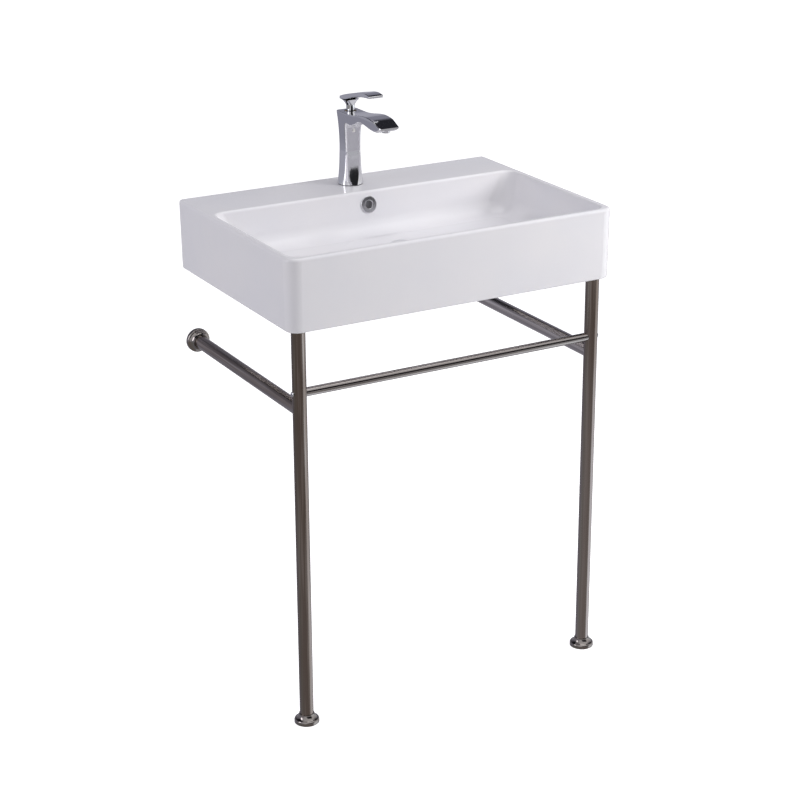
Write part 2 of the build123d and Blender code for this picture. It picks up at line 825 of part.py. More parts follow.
def make_fixed_disc():
    top = fixed_disc_base + disc_thickness
    disc = tap_rod(inner_radius - running_clearance, cartridge_reach, fixed_disc_base, top)
    disc -= inlet_ports(fixed_disc_base - 1, top + 1)
    return disc - tap_rod(outlet_radius, outlet_reach, fixed_disc_base - 1, top + 1)


# The moving disc has a mixing recess below and a pocket above for the ball of the stem.
def make_moving_disc():
    reach = cartridge_reach - drive_reach / 2
    top = moving_disc_base + moving_disc_thickness
    disc = tap_rod(moving_disc_radius, reach, moving_disc_base, top)
    disc -= tap_rod(moving_disc_radius - 2.2, reach, moving_disc_base - 1, moving_disc_base + 1.1)
    pocket = stem_tip_radius + drive_pocket_clearance
    return disc - tap_rod(pocket, cartridge_reach, top - drive_pocket_depth, top + 1)


def make_carrier():
    carrier = tap_rod(inner_radius - 3 * running_clearance, cartridge_reach, drum_base, drum_top)
    carrier += tap_rod(carrier_neck_radius, cartridge_reach, drum_top - 1, carrier_top)
    swing = drive_reach + stem_tip_radius + 1
    slot_end = cartridge_reach + swing
    carrier -= tap_block(slot_half, cartridge_reach - 4.5, slot_end, drum_base - 1, drum_top - 1)
    carrier -= tap_block(slot_half, cartridge_reach - 9, slot_end, drum_top - 1.5, carrier_top + 1)
    return carrier - tap_cross_rod(pin_radius + running_clearance, -12, 12, cartridge_reach, pivot_height)


def make_pivot_pin():
    half = carrier_neck_radius - 0.8
    return tap_cross_rod(pin_radius, -half, half, cartridge_reach, pivot_height)


def make_lever_stem():
    w = stem_half_width
    stem = tap_block(w, cartridge_reach - w, cartridge_reach + w, stem_shoulder_height + 2, stem_top)
    taper = Cone(stem_tip_radius * 0.75, w, stem_shoulder_height - stem_tip_height - stem_tip_radius + 2)
    taper_z = (stem_shoulder_height + 2 + stem_tip_height + stem_tip_radius) / 2
    stem += Pos(0, tap_y - cartridge_reach, rim_height + taper_z) * taper
    ball_z = rim_height + stem_tip_height + stem_tip_radius
    stem += Pos(0, tap_y - cartridge_reach, ball_z) * Sphere(stem_tip_radius)
    return stem - tap_cross_rod(pin_radius + running_clearance, -12, 12, cartridge_reach, pivot_height)


def make_cartridge_nut():
    nut = tap_rod(nut_radius, cartridge_reach, cartridge_top, nut_top)
    nut -= tap_rod(nut_bore_radius, cartridge_reach, cartridge_top - 1, nut_top + 1)
    notch = tap_block(1.5, cartridge_reach - 20, cartridge_reach + 20, nut_top - 2, nut_top + 1)
    return nut - notch


def make_cover_ring():
    outer = nut_radius
    flange_base = tap_top_height - cover_ring_flange + 0.2
    ring = tap_rod(outer, cartridge_reach, nut_top, tap_top_height + 0.2)
    ring -= tap_rod(outer - cover_ring_wall, cartridge_reach, nut_top - 1, flange_base)
    ring = fillet(ring.edges().group_by(Axis.Z)[-1], 0.3)
    return ring - tap_rod(cover_ring_bore, cartridge_reach, nut_top - 1, tap_top_height + 1)


# Lever
def lever_outline():
    back = (lever_back, lever_back_height)
    tip_top = (lever_tip, lever_tip_height)
    tip_foot = (lever_tip, lever_tip_height - lever_tip_thickness)
    crown = [back, (21.4, 174.1), (57.9, 181.8), (82, lever_crown_height), tip_top]
    outline = Spline(*crown, tangents=((1, 0.33), (1, -0.3)))
    outline += Line(tip_top, tip_foot)
    shoulder = (lever_back + lever_neck_depth, lever_back_height - 2.4)
    belly = [tip_foot, (86, 178.1), (63, 175.4), (38, 169.8), shoulder]
    outline += Spline(*belly, tangents=((-1, 0), (-1, -0.28)))
    outline += Polyline(shoulder, (lever_back, lever_back_height - 5.5), back)
    return make_face(outline)


def make_lever():
    half = lever_half_width
    blade = extrude(tap_side.offset(-half) * lever_outline(), 2 * half)
    blade = fillet(blade.edges().filter_by(on_blade_tip), lever_corner_radius)
    blade = fillet(blade.edges().filter_by(on_blade_side), lever_edge_radius)
    lever = blade + make_lever_neck()
    socket = stem_half_width + socket_clearance
    near = cartridge_reach - socket
    lever -= tap_block(socket, near, near + 2 * socket, lever_neck_base - 1, stem_top + socket_clearance)
    back = cartridge_reach - 2 * lever_neck_radius
    z = rim_height + grub_height
    lever -= rod_y(grub_radius + thread_clearance, 0, tap_y - cartridge_reach, tap_y - back, z)
    return lever - rod_y(grub_plug_radius + thread_clearance, 0, plug_y, tap_y - back, z)


def on_blade_tip(edge):
    middle = edge.position_at(0.5)
    return abs(middle.X) > lever_half_width - 0.1 and abs(tap_y - middle.Y - lever_tip) < 0.1


def on_blade_side(edge):
    middle = edge.position_at(0.5)
    high = middle.Z > rim_height + lever_back_height - 1
    side = abs(middle.X) > lever_half_width - lever_corner_radius - 0.1
    tip = abs(tap_y - middle.Y - lever_tip) < 0.1
    back = abs(tap_y - middle.Y - lever_back) < 0.1
    return (high or middle.Y < tap_y - 30) and (side or tip or back)


# The neck starts round in the cover ring and spreads to the width of the blade.
def make_lever_neck():
    middle = lever_back + lever_neck_depth / 2
    top = lever_back_height - 5.3
    round_radius = lever_neck_radius + 0.5
    round_top = grub_height + grub_plug_radius + 0.5
    column = Cone(lever_neck_radius, round_radius, round_top - lever_neck_base)
    column_z = rim_height + (round_top + lever_neck_base) / 2
    levels = [
        (round_top, cartridge_reach, round_radius, round_radius, round_radius - 0.1),
        (round_top + 5, cartridge_reach - 0.6, round_radius + 2.2, round_radius + 1.6, 7),
        (top, middle, lever_half_width - 0.3, lever_neck_depth / 2 - 0.3, 5),
    ]
    sections = []
    for height, reach, half_x, half_y, corner in levels:
        section = RectangleRounded(2 * half_x, 2 * half_y, corner)
        sections.append(Pos(0, tap_y - reach, rim_height + height) * section)
    flare = loft([section.face() for section in sections])
    return Pos(0, tap_y - cartridge_reach, column_z) * column + flare


def make_grub_screw():
    start = tap_y - cartridge_reach + stem_half_width
    screw = rod_y(grub_radius, 0, start, start + grub_length, rim_height + grub_height)
    end = start + grub_length
    socket = rod_y(grub_radius * 0.5, 0, end - grub_length * 0.6, end + 1, rim_height + grub_height)
    return screw - socket


def make_grub_plug():
    return rod_y(grub_plug_radius, 0, plug_y, plug_y + grub_plug_length, rim_height + grub_height)


# Clamp under the deck
def clamp_form(thickness, top):
    washer = tap_rod(clamp_washer_radius, 0, top - thickness, top)
    washer -= tap_rod(clamp_slot_radius, clamp_slot_reach, top - thickness - 1, top + 1)
    hoses = (clamp_slot_half, clamp_slot_reach - 40, clamp_slot_reach + clamp_slot_radius)
    washer -= tap_block(*hoses, top - thickness - 1, top + 1)
    return washer - tap_rod(stud_radius + thread_clearance, stud_reach, top - thickness - 1, top + 1)


def make_clamp_rubber():
    return clamp_form(clamp_rubber_thickness, -deck_thickness)


def make_clamp_plate():
    return clamp_form(clamp_steel_thickness, -deck_thickness - clamp_rubber_thickness)


def make_fixing_stud():
    top = stud_bite - shank_drop - 0.5
    return tap_rod(stud_radius, stud_reach, top - stud_length, top)


def make_clamp_nut():
    top = -deck_thickness - clamp_rubber_thickness - clamp_steel_thickness
    nut_base = Pos(0, tap_y - stud_reach, rim_height + top - clamp_nut_height)
    nut = extrude(nut_base * RegularPolygon(clamp_nut_radius, 6), clamp_nut_height)
    return nut - tap_rod(stud_radius + thread_clearance, stud_reach, top - clamp_nut_height - 1, top + 1)


def pair(make):
    return Compound(children=[make(-1), make(1)])


def make_parts():
    wall_flange = flange_form()
    ring = ring_form()
    parts = {
        "basin": make_basin(),
        "overflow_ring": make_overflow_ring(),
        "waste_body": make_waste_body(),
        "waste_flange_seal": make_flange_seal(),
        "waste_tapered_seal": make_tapered_seal(),
        "waste_back_nut": make_back_nut(),
        "click_cartridge": make_click_cartridge(),
        "waste_cap": make_waste_cap(),
        "waste_cap_seal": make_cap_seal(),
        "crossbar": make_crossbar(),
        "crossbar_screws": pair(make_crossbar_screw),
        "crossbar_inserts": pair(make_crossbar_insert),
        "leg_plugs": pair(make_leg_plug),
        "leg_pads": pair(make_leg_pad),
        "rail_inserts": pair(make_rail_insert),
        "foot_inserts": pair(make_foot_insert),
        "wall_flange_rings": Compound(children=[at_wall(side) * ring for side in sides]),
        "tap_body": make_tap_body(),
        "tap_base_gasket": make_base_gasket(),
        "aerator_body": make_aerator_body(),
        "aerator_insert": make_aerator_insert(),
        "cartridge_housing": make_cartridge_housing(),
        "fixed_disc": make_fixed_disc(),
        "moving_disc": make_moving_disc(),
        "spindle_carrier": make_carrier(),
        "pivot_pin": make_pivot_pin(),
        "lever_stem": make_lever_stem(),
        "cartridge_nut": make_cartridge_nut(),
        "cover_ring": make_cover_ring(),
        "lever": make_lever(),
        "lever_grub_screw": make_grub_screw(),
        "lever_plug": make_grub_plug(),
        "fixing_stud": make_fixing_stud(),
        "clamp_rubber": make_clamp_rubber(),
        "clamp_plate": make_clamp_plate(),
        "clamp_nut": make_clamp_nut(),
    }
    for side, word in ((-1, "left"), (1, "right")):
        parts[word + "_leg"] = make_leg(side)
        parts[word + "_side_rail"] = make_side_rail(side)
        parts[word + "_wall_flange"] = at_wall(side) * wall_flange
        parts[word + "_foot_flange"] = at_floor(side) * wall_flange
        parts[word + "_foot_ring"] = at_floor(side) * ring
        parts[word + "_foot"] = make_foot(side)
        parts[word + "_foot_pad"] = make_foot_pad(side)
    return parts


os.makedirs("parts", exist_ok=True)
for name, shape in make_parts().items():
    export_step(shape, f"parts/{name}.step")
    print(name, len(shape.solids()), round(shape.volume))
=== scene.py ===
# Console basin on a polished tube stand, dressed for a studio picture.
# Metres, the CAD frame: floor at z = 0, the wall side at +Y, X to the right.
import bpy
import math
from mathutils import Matrix, Vector


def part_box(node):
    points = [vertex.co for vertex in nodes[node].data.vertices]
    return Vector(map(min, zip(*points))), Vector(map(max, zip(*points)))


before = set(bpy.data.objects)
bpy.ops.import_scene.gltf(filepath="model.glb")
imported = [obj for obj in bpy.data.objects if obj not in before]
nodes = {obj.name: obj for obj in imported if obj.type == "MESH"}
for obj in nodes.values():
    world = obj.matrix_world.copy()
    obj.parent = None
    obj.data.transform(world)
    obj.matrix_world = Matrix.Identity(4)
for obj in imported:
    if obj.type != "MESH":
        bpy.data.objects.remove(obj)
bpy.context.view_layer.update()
scene = bpy.context.scene
basinLow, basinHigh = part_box("basin")
legLow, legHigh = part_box("right_leg")
legAxis = (legLow + legHigh) / 2
print("frame loaded:", len(nodes), "nodes")


# A socket that can be used in sums: mask * 0.3 + 1 adds the Math nodes for it
class Wire:
    def __init__(self, finish, socket):
        self.finish = finish
        self.socket = socket

    def __add__(self, other):
        return self.finish.math("ADD", self, other)

    def __radd__(self, other):
        return self.finish.math("ADD", other, self)

    def __sub__(self, other):
        return self.finish.math("SUBTRACT", self, other)

    def __rsub__(self, other):
        return self.finish.math("SUBTRACT", other, self)

    def __mul__(self, other):
        return self.finish.math("MULTIPLY", self, other)

    def __rmul__(self, other):
        return self.finish.math("MULTIPLY", other, self)

    def __gt__(self, other):
        return self.finish.math("GREATER_THAN", self, other)

    def __lt__(self, other):
        return self.finish.math("LESS_THAN", self, other)

    def __abs__(self):
        return self.finish.math("ABSOLUTE", self)


# The nodes of one material or world
class Finish:
    def __init__(self, owner):
        self.owner = owner
        owner.use_nodes = True
        self.tree = owner.node_tree
        self.tree.nodes.clear()

    # Any node: its type, its settings, the values or links of its inputs, and the output wanted
    def node(self, kind, settings=None, inputs=None, output=0):
        made = self.tree.nodes.new(kind)
        for name, value in (settings or {}).items():
            if name == "stops":
                ramp = made.color_ramp
                while len(ramp.elements) < len(value):
                    ramp.elements.new(0.5)
                for stop, (place, colour) in zip(ramp.elements, value):
                    stop.position = place
                    stop.color = (*colour, 1.0)
            else:
                setattr(made, name, value)
        for name, value in (inputs or {}).items():
            if isinstance(value, Wire):
                self.tree.links.new(value.socket, made.inputs[name])
            elif made.inputs[name].type == "RGBA":
                made.inputs[name].default_value = (*value, 1.0)
            else:
                made.inputs[name].default_value = value
        return Wire(self, made.outputs[output]) if made.outputs else None

    def math(self, operation, a, b=0.0):
        return self.node("ShaderNodeMath", {"operation": operation}, {0: a, 1: b})

    # Object coordinates, stretched by the given factors
    def place(self, stretch=(1, 1, 1)):
        coords = self.node("ShaderNodeTexCoord", output="Object")
        inputs = {"Vector": coords, "Scale": stretch}
        return self.node("ShaderNodeMapping", {"vector_type": "POINT"}, inputs)

    def axis(self, name, source="Object"):
        coords = self.node("ShaderNodeTexCoord", output=source)
        return self.node("ShaderNodeSeparateXYZ", None, {"Vector": coords}, name)

    def noise(self, where, scale, detail, rough=0.5):
        inputs = {"Vector": where, "Scale": scale, "Detail": detail, "Roughness": rough}
        return self.node("ShaderNodeTexNoise", {"noise_dimensions": "3D"}, inputs)

    # Carries a number from one span to another and holds it at the ends
    def remap(self, value, low, high, toLow=0.0, toHigh=1.0):
        inputs = {"Value": value, "From Min": low, "From Max": high, "To Min": toLow, "To Max": toHigh}
        return self.node("ShaderNodeMapRange", {"clamp": True}, inputs)

    # One colour over another
    def blend(self, factor, a, b):
        return self.node("ShaderNodeMix", {"data_type": "RGBA"}, {0: factor, 6: a, 7: b}, 2)

    def bump(self, height, strength, distance):
        inputs = {"Height": height, "Strength": strength, "Distance": distance}
        return self.node("ShaderNodeBump", None, inputs)

    # 1 for rays of one kind, such as Camera
    def ray(self, kind):
        return self.node("ShaderNodeLightPath", output="Is " + kind + " Ray")

    def background(self, colour, strength=1.0):
        return self.node("ShaderNodeBackground", None, {"Color": colour, "Strength": strength})

    # Closes a material. In the names of the shader's inputs, _ stands for a space
    def surface(self, **inputs):
        named = {key.replace("_", " "): value for key, value in inputs.items()}
        shader = self.node("ShaderNodeBsdfPrincipled", None, named)
        self.node("ShaderNodeOutputMaterial", None, {"Surface": shader})
        return self.owner


def newFinish(name):
    return Finish(bpy.data.materials.new(name))


def darker(colour, factor):
    return tuple(part * factor for part in colour)


def dress(nodeNames, material):
    for name in nodeNames:
        slots = nodes[name].data.materials
        slots.clear()
        slots.append(material)


glaze = {
    "colour": (0.80, 0.79, 0.815),
    "thickPool": (0.775, 0.77, 0.805),
    "bisque": (0.74, 0.69, 0.61),
    "bisqueGrain": (0.66, 0.61, 0.54),
    "speck": (0.55, 0.53, 0.50),
    "ductShade": (0.035, 0.032, 0.03),
    "clouds": {"scale": 7.0, "detail": 3.0},
    "cloudSpan": (0.35, 0.65),
    "ripple": {"scale": 38.0, "detail": 2.0},
    "peel": {"scale": 420.0, "detail": 1.0},
    "peelSpan": (0.3, 0.7),
    "specks": {"scale": 900.0, "detail": 0.0},
    "speckSpan": (0.80, 0.83),
    "speckShare": 0.25,
    "ior": 1.52,
    "roughness": 0.09,
    "cloudRoughness": 0.05,
    "clayRoughness": 0.7,
    "rippleShare": 0.8,
    "peelShare": 0.06,
    "bumpStrength": 0.35,
    "bumpHeight": 0.0004,
    "glazeStarts": 0.0002,  # above the underside and off the wall
    "glazeFull": 0.0010,
}

# The duct runs behind the bowl's sloping back, whose place at the rim and slope come first
overflowDuct = {
    "backAtRim": 0.103,
    "backSlope": 0.268,
    "nearest": 0.0035,
    "farthest": 0.0145,
    "halfWidth": 0.0155,
    "belowRim": 0.007,
}


def makeGlaze():
    f = newFinish("whiteGlaze")
    where = f.place()
    clouds = f.noise(where, **glaze["clouds"])
    ripple = f.noise(where, **glaze["ripple"])
    peel = f.noise(where, **glaze["peel"])
    specks = f.remap(f.noise(where, **glaze["specks"]), *glaze["speckSpan"])
    x, y, z = (f.axis(name) for name in "XYZ")
    # bare clay where the basin stands in the kiln and meets the wall
    starts, full = glaze["glazeStarts"], glaze["glazeFull"]
    underside = f.remap(z, basinLow.z + starts, basinLow.z + full, 1.0, 0.0)
    wallSide = f.remap(y, basinHigh.y - full, basinHigh.y - starts)
    bare = f.math("MAXIMUM", underside, wallSide)
    # inside the overflow duct the clay is unglazed and rough, and its near-black colour is painted shade
    depth = y - ((z - basinHigh.z) * overflowDuct["backSlope"] + overflowDuct["backAtRim"])
    duct = (depth > overflowDuct["nearest"]) * (depth < overflowDuct["farthest"])
    duct = duct * (abs(x) < overflowDuct["halfWidth"]) * (z < basinHigh.z - overflowDuct["belowRim"])
    tint = f.blend(f.remap(clouds, *glaze["cloudSpan"]), glaze["colour"], glaze["thickPool"])
    clay = f.blend(f.remap(peel, *glaze["peelSpan"]), glaze["bisque"], glaze["bisqueGrain"])
    colour = f.blend(specks * glaze["speckShare"], tint, glaze["speck"])
    colour = f.blend(bare, colour, clay)
    colour = f.blend(duct, colour, glaze["ductShade"])
    unglazed = (bare + duct) * glaze["clayRoughness"]
    height = ripple * glaze["rippleShare"] + peel * glaze["peelShare"]
    return f.surface(
        Base_Color=colour,
        Roughness=glaze["roughness"] + clouds * glaze["cloudRoughness"] + unglazed,
        IOR=glaze["ior"],
        Normal=f.bump(height, glaze["bumpStrength"], glaze["bumpHeight"]),
    )


dress(["basin"], makeGlaze())
print("ceramic done")


tubeSteel = {
    # the paler tone the legs' front takes towards the floor
    "paleBelow": (0.43, 0.385, 0.38),
    "lines": {"scale": 900.0, "detail": 3.0, "rough": 0.65},
    "smears": {"scale": 45.0, "detail": 3.0},
    "patches": {"scale": 9.0, "detail": 2.0},
    "patchSpan": (0.35, 0.7),
    "streaks": {"scale": 210.0, "detail": 2.0, "rough": 0.6},
    "streakSpan": (0.50, 0.66),
    "streakShare": 0.8,
    "roughness": 0.10,
    "lineRoughness": 0.06,
    "smearRoughness": 0.05,
    "lineStrength": 0.25,
    "lineDepth": 0.00002,
}

# Places in x and y are distances from the right leg's axis, and heights are above the floor
# A painted highlight stripe on the right leg, and the legs' front paler towards the floor
legHighlightAndPale = {
    "legReach": 0.018,
    "stripeInner": 0.002,
    "stripeStarts": (-0.0125, -0.0095),
    "stripeEnds": (-0.0045, -0.0005),
    "stripeStreaks": (0.42, 0.52),
    "stripeFaintest": 0.25,
    "stripeShare": 0.75,
    "frontReach": 0.019,
    "paleHeights": (0.66, 0.30),
    "paleShare": 0.22,
    "rightPaleHeights": (0.68, 0.40),
    "rightPaleShare": 0.48,
}

# The real tubes are all of one steel. Their tones differ here to match their reflections in the picture.
# lineStretch makes the polishing lines long on the tube's own axis.
# highlightStreak is the colour of the painted highlight streaks and stripe on each tube
tubes = [
    {
        "nodes": ["left_leg", "right_leg"],
        "material": "polishedLeg",
        "lineStretch": (1, 1, 0.02),
        "colour": (0.215, 0.174, 0.152),
        "warmPatch": (0.195, 0.15, 0.126),
        "highlightStreak": (0.42, 0.375, 0.355),
    },
    {
        "nodes": ["left_side_rail"],
        "material": "leftRail",
        "lineStretch": (1, 0.02, 1),
        "colour": (0.27, 0.228, 0.205),
        "warmPatch": (0.205, 0.17, 0.152),
        "highlightStreak": (0.42, 0.38, 0.36),
    },
    {
        "nodes": ["right_side_rail"],
        "material": "rightRail",
        "lineStretch": (1, 0.02, 1),
        "colour": (0.50, 0.46, 0.445),
        "warmPatch": (0.43, 0.39, 0.375),
        "highlightStreak": (0.68, 0.64, 0.63),
    },
    {
        "nodes": ["crossbar"],
        "material": "polishedCrossbar",
        "lineStretch": (0.02, 1, 1),
        "colour": (0.36, 0.33, 0.32),
        "warmPatch": (0.31, 0.28, 0.27),
        "highlightStreak": (0.52, 0.49, 0.48),
    },
]


def makeTubeSteel(tube):
    f = newFinish(tube["material"])
    along = f.place(tube["lineStretch"])
    lines = f.noise(along, **tubeSteel["lines"])
    smears = f.noise(along, **tubeSteel["smears"])
    streaks = f.noise(along, **tubeSteel["streaks"])
    patches = f.noise(f.place(), **tubeSteel["patches"])
    colour = f.blend(f.remap(patches, *tubeSteel["patchSpan"]), tube["colour"], tube["warmPatch"])
    # painted highlight: the tube turns lighter in random streaks along its length
    highlightStreaks = f.remap(streaks, *tubeSteel["streakSpan"], 0.0, tubeSteel["streakShare"])
    colour = f.blend(highlightStreaks, colour, tube["highlightStreak"])
    x, y, z = (f.axis(name) for name in "XYZ")
    # painted highlight: a broken bright stripe down the right leg's inner front side
    onRight = x > legAxis.x - legHighlightAndPale["legReach"]
    starts = [legAxis.y + step for step in legHighlightAndPale["stripeStarts"]]
    ends = [legAxis.y + step for step in legHighlightAndPale["stripeEnds"]]
    highlightStripe = f.remap(y, *starts) * f.remap(y, *ends, 1.0, 0.0)
    highlightStripe = highlightStripe * onRight * (x < legAxis.x - legHighlightAndPale["stripeInner"])
    highlightStripe = highlightStripe * f.remap(streaks, *legHighlightAndPale["stripeStreaks"], legHighlightAndPale["stripeFaintest"], 1.0)
    colour = f.blend(highlightStripe * legHighlightAndPale["stripeShare"], colour, tube["highlightStreak"])
    # paler towards the floor on the front side, the right leg most
    pale = f.remap(z, *legHighlightAndPale["paleHeights"], 0.0, legHighlightAndPale["paleShare"])
    rightPale = f.remap(z, *legHighlightAndPale["rightPaleHeights"], 0.0, legHighlightAndPale["rightPaleShare"]) * onRight
    inFront = y < legAxis.y + legHighlightAndPale["frontReach"]
    colour = f.blend((pale + rightPale) * inFront, colour, tubeSteel["paleBelow"])
    rough = tubeSteel["roughness"] + lines * tubeSteel["lineRoughness"]
    rough = rough + smears * tubeSteel["smearRoughness"]
    return f.surface(
        Base_Color=colour,
        Metallic=1.0,
        Roughness=rough,
        Normal=f.bump(lines, tubeSteel["lineStrength"], tubeSteel["lineDepth"]),
    )


for tube in tubes:
    dress(tube["nodes"], makeTubeSteel(tube))


chromePlate = {
    "ripple": {"scale": 90.0, "detail": 2.0},
    "wipes": {"scale": 220.0, "detail": 4.0, "rough": 0.6},
    "wipeStretch": (1, 1, 0.25),
    "film": {"scale": 26.0, "detail": 2.0},
    "filmSpan": (0.3, 0.7),
    "filmShade": 0.96,
    "wipeRoughness": 0.03,
    "filmRoughness": 0.02,
    "rippleStrength": 0.3,
    "rippleHeight": 0.00006,
}

platedParts = [
    {
        "nodes": ["tap_body", "lever", "cover_ring", "aerator_body"],
        "material": "tapChrome",
        "colour": (0.76, 0.76, 0.785),
        "roughness": 0.045,
    },
    {
        "nodes": ["waste_cap", "crossbar_screws"],
        "material": "wasteChrome",
        "colour": (0.66, 0.66, 0.68),
        "roughness": 0.07,
    },
    {
        "nodes": ["overflow_ring"],
        "material": "ringChrome",
        "colour": (0.80, 0.80, 0.82),
        "roughness": 0.15,
    },
    {
        "nodes": [
            "left_wall_flange",
            "right_wall_flange",
            "left_foot_flange",
            "right_foot_flange",
            "leg_plugs",
        ],
        "material": "flangeSteel",
        "colour": (0.30, 0.275, 0.262),
        "roughness": 0.08,
    },
]


def makeChrome(part):
    f = newFinish(part["material"])
    where = f.place()
    ripple = f.noise(where, **chromePlate["ripple"])
    wipes = f.noise(f.place(chromePlate["wipeStretch"]), **chromePlate["wipes"])
    film = f.noise(where, **chromePlate["film"])
    filmed = darker(part["colour"], chromePlate["filmShade"])
    tint = f.blend(f.remap(film, *chromePlate["filmSpan"]), part["colour"], filmed)
    rough = part["roughness"] + wipes * chromePlate["wipeRoughness"] + film * chromePlate["filmRoughness"]
    return f.surface(
        Base_Color=tint,
        Metallic=1.0,
        Roughness=rough,
        Normal=f.bump(ripple, chromePlate["rippleStrength"], chromePlate["rippleHeight"]),
    )


for part in platedParts:
    dress(part["nodes"], makeChrome(part))


machined = {
    "brass": (0.62, 0.47, 0.22),
    "zinc": (0.52, 0.52, 0.50),
    "turning": {"scale": 2600.0, "detail": 2.0},
    "turningStretch": (0.05, 0.05, 1),
    "stain": {"scale": 60.0, "detail": 3.0},
    "stainSpan": (0.35, 0.75),
    "stainShade": 0.72,
    "pitch": 0.0015,
    "valleyShade": 0.35,
    "valleyShare": 0.6,
    "roughness": 0.28,
    "turningRoughness": 0.15,
    "turningHeight": 0.05,
    "bumpStrength": 0.6,
    "bumpHeight": 0.0004,
}

# thread is the lowest and highest place of a screw thread
turnedParts = [
    {
        "nodes": ["waste_body"],
        "material": "wasteTail",
        "colour": (0.66, 0.66, 0.68),
        "thread": (0.710, 0.790),
    },
    {
        "nodes": ["fixing_stud"],
        "material": "studThread",
        "colour": machined["zinc"],
        "thread": (0.70, 0.90),
    },
    {
        "nodes": ["left_foot", "right_foot"],
        "material": "levellingScrew",
        "colour": machined["zinc"],
        "thread": (0.0085, 0.05),
    },
    {
        "nodes": [
            "waste_back_nut",
            "cartridge_nut",
            "clamp_nut",
            "rail_inserts",
            "foot_inserts",
            "crossbar_inserts",
        ],
        "material": "turnedBrass",
        "colour": machined["brass"],
    },
    {
        "nodes": ["clamp_plate", "lever_grub_screw", "lever_stem", "pivot_pin"],
        "material": "zincSteel",
        "colour": machined["zinc"],
    },
]


def makeMachined(part):
    f = newFinish(part["material"])
    turning = f.noise(f.place(machined["turningStretch"]), **machined["turning"])
    stain = f.noise(f.place(), **machined["stain"])
    stained = darker(part["colour"], machined["stainShade"])
    tint = f.blend(f.remap(stain, *machined["stainSpan"]), part["colour"], stained)
    height = turning * machined["turningHeight"]
    if "thread" in part:
        low, high = part["thread"]
        z = f.axis("Z")
        inside = (z > low) * (z < high)
        ridge = f.math("PINGPONG", z, machined["pitch"] / 2) * inside * (2 / machined["pitch"])
        height = height + ridge
        valley = darker(part["colour"], machined["valleyShade"])
        tint = f.blend(inside * (1 - ridge) * machined["valleyShare"], tint, valley)
    return f.surface(
        Base_Color=tint,
        Metallic=1.0,
        Roughness=machined["roughness"] + turning * machined["turningRoughness"],
        Normal=f.bump(height, machined["bumpStrength"], machined["bumpHeight"]),
    )


for part in turnedParts:
    dress(part["nodes"], makeMachined(part))
print("metals done")


# Rubber, plastic and the ceramic discs: one noise mottles the colour, and another gives the grain
mouldedParts = [
    {
        "nodes": [
            "waste_flange_seal",
            "waste_tapered_seal",
            "waste_cap_seal",
            "tap_base_gasket",
            "clamp_rubber",
            "leg_pads",
            "left_foot_pad",
            "right_foot_pad",
            "wall_flange_rings",
            "left_foot_ring",
            "right_foot_ring",
        ],
        "material": "blackRubber",
        "colour": (0.018, 0.018, 0.019),
        "mottled": (0.045, 0.044, 0.042),
        "mottle": {"scale": 120.0, "detail": 3.0},
        "mottleStretch": (1, 1, 1),
        "mottleSpan": (0.45, 0.8),
        "grain": {"scale": 1800.0, "detail": 2.0},
        "roughness": 0.62,
        "grainRoughness": 0.2,
        "grainStrength": 0.4,
        "grainHeight": 0.00008,
    },
    {
        "nodes": ["cartridge_housing", "spindle_carrier", "click_cartridge", "aerator_insert", "lever_plug"],
        "material": "mouldedPlastic",
        "colour": (0.62, 0.62, 0.60),
        "mottled": (0.56, 0.56, 0.55),
        "mottle": {"scale": 70.0, "detail": 2.0},
        "mottleStretch": (1, 1, 0.3),
        "mottleSpan": (0.3, 0.7),
        "grain": {"scale": 1500.0, "detail": 1.0},
        "roughness": 0.42,
        "grainRoughness": 0.12,
        "grainStrength": 0.3,
        "grainHeight": 0.00005,
    },
    {
        "nodes": ["fixed_disc", "moving_disc"],
        "material": "lappedCeramic",
        "colour": (0.80, 0.79, 0.76),
        "mottled": (0.74, 0.73, 0.70),
        "mottle": {"scale": 3000.0, "detail": 1.0},
        "mottleStretch": (1, 1, 1),
        "mottleSpan": (0.4, 0.6),
        "grain": {"scale": 3000.0, "detail": 1.0},
        "roughness": 0.16,
        "grainRoughness": 0.1,
        "grainStrength": 0.2,
        "grainHeight": 0.00003,
    },
]


def makeMoulded(part):
    f = newFinish(part["material"])
    grain = f.noise(f.place(), **part["grain"])
    mottle = f.noise(f.place(part["mottleStretch"]), **part["mottle"])
    return f.surface(
        Base_Color=f.blend(f.remap(mottle, *part["mottleSpan"]), part["colour"], part["mottled"]),
        Roughness=part["roughness"] + grain * part["grainRoughness"],
        Normal=f.bump(grain, part["grainStrength"], part["grainHeight"]),
    )


for part in mouldedParts:
    dress(part["nodes"], makeMoulded(part))
print("small parts done")


white = (1.0, 1.0, 1.0)
studio = {
    "floorSize": 30.0,
    "floorColour": (0.86, 0.86, 0.86),
    "floorGlow": 0.72,
    "ambient": 0.46,
    "ambientColour": (0.97, 0.96, 1.0),
}


# The floor glows for the rays that show the white background, and keeps the object's shadow.
# Reflections see the room instead of it.
def makeFloor():
    bpy.ops.object.select_all(action="DESELECT")
    bpy.ops.mesh.primitive_plane_add(size=studio["floorSize"], location=(0, 0, 0))
    floor = bpy.context.active_object
    floor.name = "studioFloor"
    f = newFinish("paleFloor")
    seen = f.math("MAXIMUM", f.ray("Camera"), f.ray("Glossy"))
    seen = f.math("MAXIMUM", seen, f.ray("Transmission"))
    paint = f.node("ShaderNodeBsdfDiffuse", None, {"Color": studio["floorColour"]})
    glow = f.node("ShaderNodeEmission", None, {"Color": white, "Strength": seen * studio["floorGlow"]})
    both = f.node("ShaderNodeAddShader", None, {0: paint, 1: glow})
    f.node("ShaderNodeOutputMaterial", None, {"Surface": both})
    floor.data.materials.append(f.owner)
    floor.visible_glossy = False


makeFloor()


blackScreen = (0.02, 0.02, 0.022)
darkCeiling = (0.02, 0.02, 0.025)
softPanel = (0.95, 0.95, 0.96)
dimPanel = (0.85, 0.85, 0.87)
nearPanel = (0.90, 0.90, 0.91)

